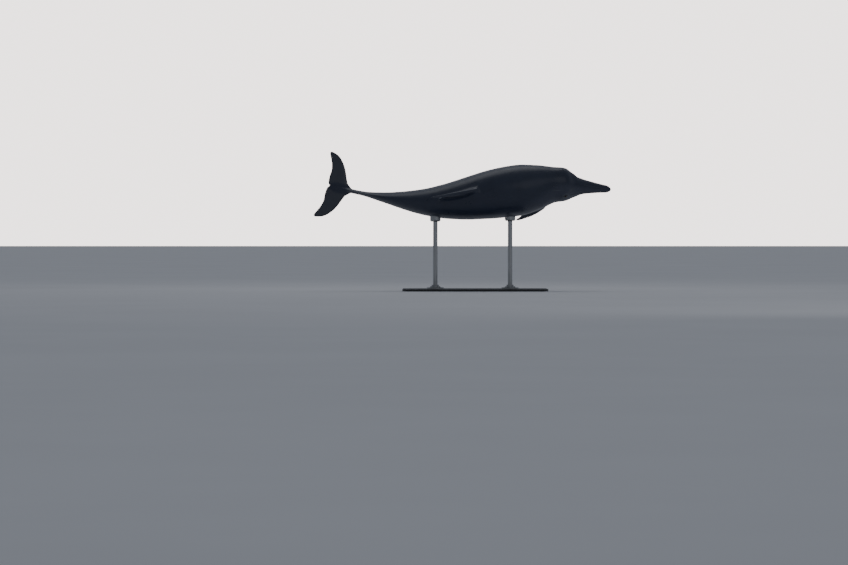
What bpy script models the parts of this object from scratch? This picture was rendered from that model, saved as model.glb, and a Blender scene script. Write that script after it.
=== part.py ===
# Life-size bottlenose dolphin in a twisting leap, lying on its right side on a two-rod display stand.
#
# World axes: +X towards the beak, -Y is the side that the back faces, +Z up, origin under the stand's base.
# A station is a share of body_length, from the beak tip (0) to the notch of the flukes (1).
# Sections are worked out on a straight spine, then placed along the bent and twisted one.

import math

import bmesh
import bpy
import numpy as np
from mathutils import Matrix, Vector

# ---------------------------------------------------------------- driving dimensions
BODY_LENGTH = 2.50
BEAK_TIP = (1.185, 0.050, 0.883)
PART_GAP = 0.0004

# station, half width, height of the back, depth of the belly, ridge (1 is round, less is keeled)
SECTIONS = (
    (0.000, 0.0126, 0.0106, 0.0116, 1.00),  # beak tip
    (0.030, 0.0152, 0.0138, 0.0152, 1.00),  # front of the beak
    (0.065, 0.0199, 0.0192, 0.0213, 1.00),  # root of the beak
    (0.100, 0.0250, 0.0268, 0.0287, 1.00),  # under the melon
    (0.130, 0.0342, 0.0368, 0.0432, 1.00),  # corner of the mouth
    (0.165, 0.0540, 0.0670, 0.0534, 1.00),  # eyes and blowhole
    (0.200, 0.0584, 0.0722, 0.0562, 1.00),  # neck
    (0.250, 0.0738, 0.0834, 0.0726, 1.00),  # shoulders
    (0.330, 0.0872, 0.0948, 0.0940, 1.00),  # chest
    (0.400, 0.0850, 0.0976, 0.0962, 1.00),  # largest girth
    (0.480, 0.0772, 0.0930, 0.0915, 0.98),
    (0.580, 0.0614, 0.0820, 0.0790, 0.92),  # behind the back fin
    (0.700, 0.0380, 0.0608, 0.0538, 0.80),  # vent
    (0.800, 0.0185, 0.0418, 0.0346, 0.70),  # tail stock
    (0.880, 0.0082, 0.0276, 0.0236, 0.66),
    (0.940, 0.0072, 0.0158, 0.0138, 0.74),  # root of the flukes
    (1.000, 0.0064, 0.0040, 0.0040, 0.90),  # notch
)
NOSE_ROUNDING = 0.020
NOTCH_ROUNDING = 0.030

# Melon: an egg over the root of the beak (station and height of its centre, half axes)
MELON = {"station": 0.174, "height": 0.004, "length": 0.061, "width": 0.0320, "rise": 0.0570}
MELON_BLEND = 0.004
MELON_FRONT = (0.095, 0.125)
MELON_REAR = (0.200, 0.245)

# Pose of the spine: station, rise and turn of its forward direction, roll of the back (degrees)
POSE = (
    (0.00, -6.5, -7.0, 52.0),
    (0.05, -6.0, -7.0, 52.0),
    (0.12, -3.0, -6.0, 52.0),
    (0.16, -0.5, -6.0, 51.0),
    (0.25, 7.0, -2.0, 43.0),
    (0.35, 8.2, 0.0, 29.0),
    (0.47, 10.3, 2.0, 13.5),
    (0.56, 6.0, 5.0, 7.0),
    (0.63, 0.6, 7.0, 3.5),
    (0.70, -5.5, 9.0, 2.0),
    (0.85, -11.0, 9.0, 0.0),
    (0.93, -13.0, 3.0, 0.0),
    (1.00, -15.0, 0.0, 0.0),
)

# Fins. A foot is station, left and up; directions are back, left and up, and the edges are measured along
# the chord from the line through the foot. Edges: share of the span, leading, trailing, half thickness.
FINS = {
    "dorsal_fin": {
        "foot": (0.500, 0.0, 0.045),
        "span": 0.140,
        "out": (0.0, 0.0, 1.0),
        "chord": (1.0, 0.0, 0.0),
        "edges": (
            (0.00, -0.0560, 0.1000, 0.0100),
            (0.34, -0.0430, 0.0940, 0.0090),
            (0.48, -0.0210, 0.0860, 0.0078),
            (0.62, 0.0080, 0.0830, 0.0066),
            (0.76, 0.0390, 0.0870, 0.0050),
            (0.90, 0.0760, 0.1000, 0.0034),
            (1.00, 0.1070, 0.1170, 0.0024),
        ),
    },
    "flipper": {
        "foot": (0.242, -0.031, -0.020),
        "span": 0.156,
        "out": (0.615, -0.05, -0.787),
        "chord": (0.50, 0.15, 0.85),
        "edges": (
            (0.00, -0.0140, 0.0260, 0.0110),
            (0.20, -0.0295, 0.0290, 0.0100),
            (0.40, -0.0240, 0.0270, 0.0078),
            (0.60, -0.0155, 0.0190, 0.0056),
            (0.80, -0.0045, 0.0105, 0.0038),
            (0.92, 0.0015, 0.0100, 0.0030),
            (1.00, 0.0060, 0.0125, 0.0024),
        ),
    },
    "fluke": {
        "foot": (1.000, 0.0, 0.0),
        "span": 0.118,
        "out": (0.0, 1.0, 0.0),
        "chord": (1.0, 0.0, 0.0),
        "edges": (
            (0.00, -0.0940, -0.0030, 0.0060),
            (0.10, -0.0760, 0.0040, 0.0060),
            (0.27, -0.0570, 0.0055, 0.0058),
            (0.45, -0.0505, 0.0040, 0.0050),
            (0.62, -0.0420, 0.0080, 0.0040),
            (0.80, -0.0265, 0.0155, 0.0030),
            (0.92, -0.0105, 0.0235, 0.0022),
            (1.00, 0.0108, 0.0258, 0.0018),
        ),
    },
}
FIN_TIP_ROUNDING = 0.05
FIN_NOSE_BIAS = 0.5

# Thin cuts between the named parts of the body (stations), and the plane of the mouth (height at two stations)
CUTS = {"beak": 0.100, "mouth": 0.135, "neck": 0.200, "chest": 0.420, "vent": 0.660, "tail": 0.915}
MOUTH_LINE = ((0.0, -0.0005), (0.135, -0.0100))

EYE = {"station": 0.166, "angle": 94.0, "radius": 0.0135, "depth": 0.0095}

# Mesh rows along the body: share of the rows, station reached
BODY_COLUMNS = 32
BODY_ROWS = 46
ROW_STATIONS = ((0.0, 0.0), (0.07, 0.008), (0.43, 0.210), (0.78, 0.740), (0.95, 0.985), (1.0, 1.0))
FIN_COLUMNS = 20
FIN_ROWS = 13
EYE_COLUMNS = 14
EYE_ROWS = 9

# Display stand
BASE = {"length": 1.26, "width": 0.56, "height": 0.020, "corner": 0.10, "edge": 0.004}
ROD_RADIUS = 0.020
ROD_PLACES = {"front": 0.305, "rear": -0.345}
FLANGE = {"radius": 0.075, "height": 0.012, "neck_radius": 0.032, "neck_height": 0.034, "edge": 0.003}
COLLAR = {"radius": 0.046, "height": 0.030, "taper": 0.8}
ROUND_COLUMNS = 28

# Materials: colour, roughness, metallic
SKIN_DARK = ((0.035, 0.043, 0.055), 0.35, 0.0)
SKIN_MIDDLE = ((0.110, 0.125, 0.145), 0.35, 0.0)
EYE_BROWN = ((0.020, 0.012, 0.008), 0.08, 0.0)
STEEL = ((0.60, 0.61, 0.62), 0.30, 1.0)
POWDER_COAT = ((0.030, 0.031, 0.033), 0.50, 0.0)


# ---------------------------------------------------------------- curves and frames
def smooth_curve(keys, column, stations):
    """Cubic through the keys that never overshoots them: each slope is the harmonic mean of its two chords."""
    x = np.array([key[0] for key in keys])
    y = np.array([key[column] for key in keys])
    chord = np.diff(y) / np.diff(x)
    slope = np.zeros_like(y)
    same_way = chord[1:] * chord[:-1] > 0
    pair = np.where(same_way, chord[1:] + chord[:-1], 1.0)
    slope[1:-1] = np.where(same_way, 2 * chord[1:] * chord[:-1] / pair, 0.0)
    slope[0] = chord[0]
    slope[-1] = chord[-1]
    s = np.clip(stations, x[0], x[-1])
    k = np.clip(np.searchsorted(x, s, side="right") - 1, 0, len(x) - 2)
    step = x[k + 1] - x[k]
    t = (s - x[k]) / step
    from_start = (1 + 2 * t) * (1 - t) ** 2 * y[k] + t * (1 - t) ** 2 * step * slope[k]
    from_end = t * t * (3 - 2 * t) * y[k + 1] + t * t * (t - 1) * step * slope[k + 1]
    return from_start + from_end


def spine_table():
    """Stations with the spine's point, forward, left and back directions, read by place()."""
    s = np.linspace(-0.05, 1.10, 461)
    rise, turn, roll = (np.radians(smooth_curve(POSE, column, s)) for column in (1, 2, 3))
    forward = np.stack([np.cos(rise) * np.cos(turn), -np.sin(turn), np.sin(rise) * np.cos(turn)], axis=1)
    level_left = np.stack([-np.sin(rise), np.zeros_like(s), np.cos(rise)], axis=1)
    level_back = np.cross(forward, level_left)
    back = level_back * np.cos(roll)[:, None] + level_left * np.sin(roll)[:, None]
    left = level_left * np.cos(roll)[:, None] - level_back * np.sin(roll)[:, None]
    mean_forward = (forward[1:] + forward[:-1]) / 2
    steps = -mean_forward * (np.diff(s) * BODY_LENGTH)[:, None]
    point = np.concatenate([np.zeros((1, 3)), np.cumsum(steps, axis=0)])
    start = np.array([np.interp(0.0, s, point[:, axis]) for axis in range(3)])
    return s, point - start + np.array(BEAK_TIP), forward, left, back


SPINE = spine_table()


def spine_at(station, which):
    return np.stack([np.interp(station, SPINE[0], SPINE[which][:, axis]) for axis in range(3)], axis=-1)


def place(station, sideways, upwards):
    """World points of places given by station, and metres to the left and towards the back."""
    return (
        spine_at(station, 1)
        + spine_at(station, 3) * sideways[..., None]
        + spine_at(station, 4) * upwards[..., None]
    )


# ---------------------------------------------------------------- the body's surface
def egg_radius(station, angle, egg):
    """How far an egg's far side is from the spine, along the ray at this angle from the back (0: missed)."""
    left = 1 - ((station - egg["station"]) / egg["length"]) ** 2
    a = (np.sin(angle) / egg["width"]) ** 2 + (np.cos(angle) / egg["rise"]) ** 2
    b = -2 * np.cos(angle) * egg["height"] / egg["rise"] ** 2
    c = (egg["height"] / egg["rise"]) ** 2 - left
    inside = b * b - 4 * a * c
    return np.where((left > 0) & (inside > 0), (-b + np.sqrt(np.maximum(inside, 0))) / (2 * a), 0.0)


def section_size(station):
    """Half width, back height, belly depth and ridge at a station, closed to a point at both ends."""
    ends = np.sqrt(1 - (1 - np.clip(station / NOSE_ROUNDING, 0, 1)) ** 2)
    ends = ends * np.sqrt(1 - (1 - np.clip((1 - station) / NOTCH_ROUNDING, 0, 1)) ** 2)
    width, back, belly, ridge = (smooth_curve(SECTIONS, column, station) for column in (1, 2, 3, 4))
    return width * ends, back * ends, belly * ends, ridge


def soft_step(ends, value):
    """0 before the first end, 1 after the second, and a smooth rise between."""
    share = np.clip((value - ends[0]) / (ends[1] - ends[0]), 0, 1)
    return share * share * (3 - 2 * share)


def body_radius(station, angle):
    """Distance from spine to skin at this angle from the back, as a share of body_length."""
    width, back, belly, ridge = section_size(station)
    height = np.where(np.cos(angle) > 0, back, belly)
    across = np.abs(np.sin(angle)) / np.maximum(width, 1e-6)
    along = np.abs(np.cos(angle)) / np.maximum(height, 1e-6)
    radius = 1 / np.sqrt(across**2 + along**2)
    for _ in range(12):
        fill = (radius * across) ** (2 * ridge) + (radius * along) ** 2
        radius = radius / np.sqrt(fill)
    melon = egg_radius(station, angle, MELON)
    fused = (radius + melon + np.sqrt((radius - melon) ** 2 + MELON_BLEND**2)) / 2
    head = soft_step(MELON_FRONT, station) * (1 - soft_step(MELON_REAR, station))
    return radius + (fused - radius) * head


def body_point(station, turn):
    """World point of the skin. Turn runs 0 to 2 pi from the back over the left side, evenly round an ellipse."""
    width, back, belly, _ = section_size(station)
    height = np.where(np.cos(turn) > 0, back, belly)
    angle = np.arctan2(width * np.sin(turn), height * np.cos(turn))
    radius = body_radius(station, angle) * BODY_LENGTH
    return place(station, radius * np.sin(angle), radius * np.cos(angle))


# ---------------------------------------------------------------- the fins' surfaces
def fin_axes(fin):
    """Directions out along the span, back along the chord and through the thickness, square to each other."""
    out = np.array(fin["out"]) / np.linalg.norm(fin["out"])
    chord = np.array(fin["chord"]) - np.dot(fin["chord"], out) * out
    chord = chord / np.linalg.norm(chord)
    return out, chord, np.cross(out, chord)


def fin_point(fin, span, turn, mirror=1, fill=1.0):
    """Station, left and up of a fin's skin. Turn runs from the leading edge (0) round to it again (2 pi)."""
    leading, trailing, thick = (smooth_curve(fin["edges"], column, span) for column in (1, 2, 3))
    tip = fill * np.sqrt(1 - np.clip((span - 1 + FIN_TIP_ROUNDING) / FIN_TIP_ROUNDING, 0, 1) ** 2)
    along = (leading + trailing) / 2 - (trailing - leading) / 2 * tip * np.cos(turn)
    across = thick * tip * np.sin(turn) * (1 + FIN_NOSE_BIAS * np.cos(turn))
    out, chord, through = fin_axes(fin)
    spot = (
        np.array(fin["foot"])
        + (span * fin["span"])[..., None] * out
        + along[..., None] * chord
        + across[..., None] * through
    )
    return spot * np.array([1, mirror, 1])


# ---------------------------------------------------------------- making meshes
def closed_mesh(name, bm):
    bmesh.ops.recalc_face_normals(bm, faces=bm.faces)
    mesh = bpy.data.meshes.new(name)
    bm.to_mesh(mesh)
    bm.free()
    return mesh


def reshaped_sphere(name, columns, rows, shape):
    """A UV sphere whose points move to shape(share of the rows, turn)."""
    bm = bmesh.new()
    bmesh.ops.create_uvsphere(bm, u_segments=columns, v_segments=rows, radius=1.0)
    unit = np.array([vert.co for vert in bm.verts])
    share = np.arccos(np.clip(unit[:, 2], -1, 1)) / math.pi
    turn = np.arctan2(unit[:, 1], unit[:, 0]) % (2 * math.pi)
    for vert, spot in zip(bm.verts, shape(share, turn)):
        vert.co = spot
    bmesh.ops.triangulate(bm, faces=bm.faces)
    return closed_mesh(name, bm)


def body_shape(share, turn):
    return body_point(smooth_curve(ROW_STATIONS, 1, share), turn)


def fin_shape(fin, mirror, root):
    """Shape of a fin whose first row lies at this share of its span and is closed flat."""

    def shape(share, turn):
        outwards = np.clip((share * FIN_ROWS - 1) / (FIN_ROWS - 1), 0, 1)
        span = root + (1 - root) * (1 - (1 - outwards) ** 1.4)
        spot = fin_point(fin, span, turn, mirror, np.where(share < 0.5 / FIN_ROWS, 0.0, 1.0))
        return place(spot[:, 0], spot[:, 1] * BODY_LENGTH, spot[:, 2] * BODY_LENGTH)

    return shape


def skin_spot(station, degrees):
    """World point of the skin at an angle from the back, measured over the left side."""
    angle = math.radians(degrees)
    radius = body_radius(np.array(station), np.array(angle)) * BODY_LENGTH
    return place(np.array(station), radius * math.sin(angle), radius * math.cos(angle))


def eye_shape(mirror):
    """Shape of an eyeball that stands a little proud of the skin."""
    station = EYE["station"]
    degrees = EYE["angle"] * mirror
    skin = skin_spot(station, degrees)
    along = skin_spot(station - 0.002, degrees) - skin_spot(station + 0.002, degrees)
    around = skin_spot(station, degrees + 2 * mirror) - skin_spot(station, degrees - 2 * mirror)
    outwards = np.cross(around, along) * mirror
    centre = skin - outwards / np.linalg.norm(outwards) * EYE["depth"]

    def shape(share, turn):
        polar = share * math.pi
        unit = np.stack([np.sin(polar) * np.cos(turn), np.sin(polar) * np.sin(turn), np.cos(polar)], axis=-1)
        return centre + unit * EYE["radius"]

    return shape


def bisected(mesh, planes):
    """A copy of a closed mesh, kept on the far side of each plane (point, normal) and closed again."""
    bm = bmesh.new()
    bm.from_mesh(mesh)
    for point, normal in planes:
        everything = bm.verts[:] + bm.edges[:] + bm.faces[:]
        bmesh.ops.bisect_plane(bm, geom=everything, plane_co=point, plane_no=normal, clear_inner=True)
        rim = [edge for edge in bm.edges if edge.is_boundary]
        bmesh.ops.holes_fill(bm, edges=rim, sides=0)
    return closed_mesh(mesh.name, bm)


def cut_plane(point, normal):
    """A plane half a gap on from a point."""
    normal = normal / np.linalg.norm(normal)
    return tuple(point + normal * PART_GAP / 2), tuple(normal)


def behind(station):
    return cut_plane(spine_at(station, 1), -spine_at(station, 2))


def ahead_of(station):
    return cut_plane(spine_at(station, 1), spine_at(station, 2))


def beside_middle(mirror):
    root = FINS["fluke"]["foot"][0] - 0.03
    return cut_plane(spine_at(root, 1), spine_at(root, 3) * mirror)


def mouth_plane(side):
    """The mouth's plane, half a gap to this side (1 is above, -1 below)."""
    (tip, corner) = (place(np.array(at), 0.0 * np.array(at), np.array(up) * BODY_LENGTH) for at, up in MOUTH_LINE)
    return cut_plane(tip, np.cross(tip - corner, spine_at(MOUTH_LINE[1][0] / 2, 3)) * side)


def combined(first, second, operation):
    """The mesh of a Boolean modifier between two meshes, worked out by the exact solver."""
    target = bpy.data.objects.new("boolean_target", first)
    cutter = bpy.data.objects.new("boolean_cutter", second)
    for obj in (target, cutter):
        cutters.objects.link(obj)
    modifier = target.modifiers.new("boolean", "BOOLEAN")
    modifier.operation = operation
    modifier.solver = "EXACT"
    modifier.object = cutter
    bpy.context.view_layer.update()
    result = bpy.data.meshes.new_from_object(target.evaluated_get(bpy.context.evaluated_depsgraph_get()))
    bpy.data.objects.remove(target)
    bpy.data.objects.remove(cutter)
    return result


def grown(mesh):
    """A copy of a mesh, moved outwards by the gap between parts."""
    obj = bpy.data.objects.new("grown", mesh)
    cutters.objects.link(obj)
    modifier = obj.modifiers.new("gap", "DISPLACE")
    modifier.strength = PART_GAP
    modifier.mid_level = 0.0
    bpy.context.view_layer.update()
    result = bpy.data.meshes.new_from_object(obj.evaluated_get(bpy.context.evaluated_depsgraph_get()))
    bpy.data.objects.remove(obj)
    return result


# ---------------------------------------------------------------- objects
def material(name, finish):
    colour, roughness, metallic = finish
    slot = bpy.data.materials.new(name)
    slot.use_nodes = True
    shader = slot.node_tree.nodes["Principled BSDF"]
    shader.inputs["Base Color"].default_value = (*colour, 1.0)
    shader.inputs["Roughness"].default_value = roughness
    shader.inputs["Metallic"].default_value = metallic
    return slot


def add_part(name, mesh, finish, sharp_degrees=40.0):
    mesh.name = name
    obj = bpy.data.objects.new(name, mesh)
    parts.objects.link(obj)
    mesh.materials.clear()
    mesh.materials.append(material(name, finish))
    mesh.shade_smooth()
    mesh.set_sharp_from_angle(angle=math.radians(sharp_degrees))
    return obj


def box_mesh(low, high):
    bm = bmesh.new()
    bmesh.ops.create_cube(bm, size=1.0)
    low = Vector(low)
    high = Vector(high)
    size = Matrix.Diagonal((*(high - low), 1.0))
    bmesh.ops.transform(bm, matrix=Matrix.Translation((low + high) / 2) @ size, verts=bm.verts)
    return bm


def jaw_block():
    """The space of the lower jaw, from the mouth's plane down and from its corner forwards."""
    centre = spine_at(CUTS["mouth"] / 2, 1)
    reach = BODY_LENGTH * CUTS["mouth"]
    block = closed_mesh("jaw_block", box_mesh(centre - reach, centre + reach))
    return bisected(block, [mouth_plane(-1), ahead_of(CUTS["mouth"])])


def make_body():
    """The parts of the body, divided by thin cuts. Returns what the fins and the stand are fitted to."""
    whole = reshaped_sphere("whole_body", BODY_COLUMNS, BODY_ROWS, body_shape)
    add_part("upper_beak", bisected(whole, [ahead_of(CUTS["beak"]), mouth_plane(1)]), SKIN_DARK)
    add_part("lower_jaw", bisected(whole, [ahead_of(CUTS["mouth"]), mouth_plane(-1)]), SKIN_MIDDLE)
    head = bisected(whole, [behind(CUTS["beak"]), ahead_of(CUTS["neck"])])
    head = combined(head, grown(jaw_block()), "DIFFERENCE")
    for side, mirror in (("left", 1), ("right", -1)):
        eye = reshaped_sphere("eye", EYE_COLUMNS, EYE_ROWS, eye_shape(mirror))
        head = combined(head, grown(eye), "DIFFERENCE")
        add_part("eye_" + side, eye, EYE_BROWN)
    add_part("head", head, SKIN_DARK)
    for name, front, rear in (("chest", "neck", "chest"), ("trunk", "chest", "vent"), ("tail_stock", "vent", "tail")):
        add_part(name, bisected(whole, [behind(CUTS[front]), ahead_of(CUTS[rear])]), SKIN_DARK)
    return bisected(whole, [behind(CUTS["tail"] - 0.01)]), grown(whole)


def make_fins(tail_end, clearance):
    """Fins, cut back from the body by the gap, and the two flukes, which hold the end of the tail."""
    fin = reshaped_sphere("fin", FIN_COLUMNS, FIN_ROWS, fin_shape(FINS["dorsal_fin"], 1, 0.0))
    add_part("dorsal_fin", combined(fin, clearance, "DIFFERENCE"), SKIN_DARK)
    for side, mirror in (("left", 1), ("right", -1)):
        flipper = reshaped_sphere("fin", FIN_COLUMNS, FIN_ROWS, fin_shape(FINS["flipper"], -mirror, 0.0))
        add_part("flipper_" + side, combined(flipper, clearance, "DIFFERENCE"), SKIN_DARK)
        fluke = reshaped_sphere("fin", FIN_COLUMNS, FIN_ROWS, fin_shape(FINS["fluke"], mirror, -0.05))
        fluke = combined(fluke, tail_end, "UNION")
        add_part("fluke_" + side, bisected(fluke, [behind(CUTS["tail"]), beside_middle(mirror)]), SKIN_DARK)


def turned(profile):
    """A solid turned about Z from points (radius, height) listed down its outer side and back up its bore."""
    mesh = bpy.data.meshes.new("profile")
    count = len(profile)
    edges = [(index, (index + 1) % count) for index in range(count)]
    mesh.from_pydata([(radius, 0.0, height) for radius, height in profile], edges, [])
    obj = bpy.data.objects.new("profile", mesh)
    cutters.objects.link(obj)
    screw = obj.modifiers.new("turn", "SCREW")
    screw.steps = ROUND_COLUMNS
    screw.render_steps = ROUND_COLUMNS
    screw.use_merge_vertices = True
    screw.merge_threshold = 0.00001
    bpy.context.view_layer.update()
    result = bpy.data.meshes.new_from_object(obj.evaluated_get(bpy.context.evaluated_depsgraph_get()))
    bpy.data.objects.remove(obj)
    bm = bmesh.new()
    bm.from_mesh(result)
    return closed_mesh("turned", bm)


def make_base():
    half_length = BASE["length"] / 2
    half_width = BASE["width"] / 2
    bm = box_mesh((-half_length, -half_width, 0), (half_length, half_width, BASE["height"]))
    upright = [edge for edge in bm.edges if abs(edge.verts[0].co.z - edge.verts[1].co.z) > BASE["height"] / 2]
    bmesh.ops.bevel(bm, geom=upright, offset=BASE["corner"], segments=8, profile=0.5, affect="EDGES")
    top = [edge for edge in bm.edges if all(vert.co.z > BASE["height"] * 0.9 for vert in edge.verts)]
    bmesh.ops.bevel(bm, geom=top, offset=BASE["edge"], segments=2, profile=0.5, affect="EDGES")
    add_part("stand_base", closed_mesh("stand_base", bm), POWDER_COAT)


def lowest_point(clearance, x):
    """Height of the lowest skin in a band around x, above the middle line of the base."""
    spots = np.array([vert.co for vert in clearance.vertices])
    near = np.abs(spots[:, 0] - x) < 0.06
    return spots[near, 2].min()


def make_stand(clearance):
    """Base, and two rods whose tops and collars are cut to the shape of the body that they carry."""
    make_base()
    floor = BASE["height"] + PART_GAP
    bore = ROD_RADIUS + PART_GAP
    for place_name, x in ROD_PLACES.items():
        to_place = Matrix.Translation((x, 0, 0))
        skin = lowest_point(clearance, x)
        rod_top = skin + 0.06
        flange_top = floor + FLANGE["height"]
        neck_top = floor + FLANGE["neck_height"]
        collar_base = skin - COLLAR["height"]
        rod = turned([(0, rod_top), (ROD_RADIUS, rod_top), (ROD_RADIUS, floor), (0, floor)])
        flange = turned(
            [
                (FLANGE["neck_radius"], neck_top),
                (FLANGE["neck_radius"], flange_top),
                (FLANGE["radius"] - FLANGE["edge"], flange_top),
                (FLANGE["radius"], flange_top - FLANGE["edge"]),
                (FLANGE["radius"], floor),
                (bore, floor),
                (bore, neck_top),
            ]
        )
        collar = turned(
            [
                (COLLAR["radius"], rod_top),
                (COLLAR["radius"], collar_base + COLLAR["height"] / 3),
                (COLLAR["radius"] * COLLAR["taper"], collar_base),
                (bore, collar_base),
                (bore, rod_top),
            ]
        )
        for name, mesh in (("stand_rod_", rod), ("stand_flange_", flange), ("stand_collar_", collar)):
            mesh.transform(to_place)
            if name != "stand_flange_":
                mesh = combined(mesh, clearance, "DIFFERENCE")
            add_part(name + place_name, mesh, STEEL)


# ---------------------------------------------------------------- build
for old in list(bpy.data.objects):
    bpy.data.objects.remove(old, do_unlink=True)
parts = bpy.data.collections.new("bottlenose_dolphin")
cutters = bpy.data.collections.new("cutters")
for group in (parts, cutters):
    bpy.context.scene.collection.children.link(group)

tail, body_clearance = make_body()
make_fins(tail, body_clearance)
make_stand(body_clearance)
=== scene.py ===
# Bottlenose dolphin in a twisting leap, on its display stand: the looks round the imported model.
# Straight space: station (share of the body's length, beak tip 0, fluke notch 1), left and up, all as shares
# of the length. The skin is worked out there, then laid along the bent and twisted spine.

import math
import bpy
import numpy as np
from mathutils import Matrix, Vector


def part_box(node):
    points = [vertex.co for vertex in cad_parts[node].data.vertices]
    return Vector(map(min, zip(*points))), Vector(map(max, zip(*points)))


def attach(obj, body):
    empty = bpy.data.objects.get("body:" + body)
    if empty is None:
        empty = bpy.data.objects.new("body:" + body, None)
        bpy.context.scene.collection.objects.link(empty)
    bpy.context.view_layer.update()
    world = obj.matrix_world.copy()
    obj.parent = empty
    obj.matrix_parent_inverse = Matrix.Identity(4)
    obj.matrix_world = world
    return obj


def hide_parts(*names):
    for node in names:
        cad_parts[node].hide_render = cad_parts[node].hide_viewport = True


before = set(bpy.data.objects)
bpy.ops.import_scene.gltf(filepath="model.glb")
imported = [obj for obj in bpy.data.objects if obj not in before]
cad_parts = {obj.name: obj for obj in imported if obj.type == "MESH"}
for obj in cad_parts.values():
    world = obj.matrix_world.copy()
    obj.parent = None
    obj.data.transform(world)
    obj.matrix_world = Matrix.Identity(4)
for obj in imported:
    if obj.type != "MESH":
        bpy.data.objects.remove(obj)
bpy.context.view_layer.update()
print("frame loaded:", len(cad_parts), "nodes")

scene = bpy.context.scene
bodyLength = 2.50
mmPerStation = bodyLength * 1000
beakTip = (1.185, 0.050, 0.883)

# station, half width, height of the back, depth of the belly, ridge (1 is round, less is keeled)
sections = (
    (0.000, 0.0126, 0.0106, 0.0116, 1.00),
    (0.030, 0.0152, 0.0138, 0.0152, 1.00),
    (0.065, 0.0199, 0.0192, 0.0213, 1.00),
    (0.100, 0.0250, 0.0268, 0.0287, 1.00),
    (0.130, 0.0342, 0.0368, 0.0432, 1.00),
    (0.165, 0.0540, 0.0670, 0.0534, 1.00),
    (0.200, 0.0584, 0.0722, 0.0562, 1.00),
    (0.250, 0.0738, 0.0834, 0.0726, 1.00),
    (0.330, 0.0872, 0.0948, 0.0940, 1.00),
    (0.400, 0.0850, 0.0976, 0.0962, 1.00),
    (0.480, 0.0772, 0.0930, 0.0915, 0.98),
    (0.580, 0.0614, 0.0820, 0.0790, 0.92),
    (0.700, 0.0380, 0.0608, 0.0538, 0.80),
    (0.800, 0.0185, 0.0418, 0.0346, 0.70),
    (0.880, 0.0082, 0.0276, 0.0236, 0.66),
    (0.940, 0.0072, 0.0158, 0.0138, 0.74),
    (1.000, 0.0064, 0.0040, 0.0040, 0.90),
)
endRounding = {"nose": 0.020, "notch": 0.030}
melon = {
    "station": 0.174, "height": 0.004, "length": 0.061, "width": 0.0320, "rise": 0.0570, "blend": 0.004,
    "front": (0.095, 0.125), "rear": (0.200, 0.245),
}

# station, rise and turn of the spine's forward direction, roll of the back, in degrees
pose = (
    (0.00, -6.5, -7.0, 52.0),
    (0.05, -6.0, -7.0, 52.0),
    (0.12, -3.0, -6.0, 52.0),
    (0.16, -0.5, -6.0, 51.0),
    (0.25, 7.0, -2.0, 43.0),
    (0.35, 8.2, 0.0, 29.0),
    (0.47, 10.3, 2.0, 13.5),
    (0.56, 6.0, 5.0, 7.0),
    (0.63, 0.6, 7.0, 3.5),
    (0.70, -5.5, 9.0, 2.0),
    (0.85, -11.0, 9.0, 0.0),
    (0.93, -13.0, 3.0, 0.0),
    (1.00, -15.0, 0.0, 0.0),
)

# fins of the left side and the back; edges are span, leading, trailing, half thickness
fins = {
    "dorsal": {
        "foot": (0.500, 0.0, 0.045), "span": 0.140, "out": (0.0, 0.0, 1.0), "chord": (1.0, 0.0, 0.0),
        "edges": (
            (0.00, -0.0560, 0.1000, 0.0100),
            (0.34, -0.0430, 0.0940, 0.0090),
            (0.48, -0.0210, 0.0860, 0.0078),
            (0.62, 0.0080, 0.0830, 0.0066),
            (0.76, 0.0390, 0.0870, 0.0050),
            (0.90, 0.0760, 0.1000, 0.0034),
            (1.00, 0.1070, 0.1170, 0.0024),
        ),
    },
    "flipper": {
        "foot": (0.242, 0.031, -0.020), "span": 0.156,
        "out": (0.615, 0.05, -0.787), "chord": (0.50, -0.15, 0.85),
        "edges": (
            (0.00, -0.0140, 0.0260, 0.0110),
            (0.20, -0.0295, 0.0290, 0.0100),
            (0.40, -0.0240, 0.0270, 0.0078),
            (0.60, -0.0155, 0.0190, 0.0056),
            (0.80, -0.0045, 0.0105, 0.0038),
            (0.92, 0.0015, 0.0100, 0.0030),
            (1.00, 0.0060, 0.0125, 0.0024),
        ),
    },
    "fluke": {
        "foot": (1.000, 0.0, 0.0), "span": 0.118, "out": (0.0, 1.0, 0.0), "chord": (1.0, 0.0, 0.0),
        "edges": (
            (0.00, -0.0940, -0.0030, 0.0060),
            (0.10, -0.0760, 0.0040, 0.0060),
            (0.27, -0.0570, 0.0055, 0.0058),
            (0.45, -0.0505, 0.0040, 0.0050),
            (0.62, -0.0420, 0.0080, 0.0040),
            (0.80, -0.0265, 0.0155, 0.0030),
            (0.92, -0.0105, 0.0235, 0.0022),
            (1.00, 0.0108, 0.0258, 0.0018),
        ),
    },
}
finTip = 0.05  # share of the span that rounds off the tip
noseBias = 0.5  # how far a fin's thickness leans to its leading edge


def smoothStep(low, high, value):
    # 0 below low, 1 above high, and 3t2 - 2t3 between
    t = np.clip((value - low) / (high - low), 0, 1)
    return t * t * (3 - 2 * t)


def bell(value, centre, width):
    # Gauss's bell: 1 at the centre, 0.37 one width away
    return np.exp(-(((value - centre) / width) ** 2))


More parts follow.
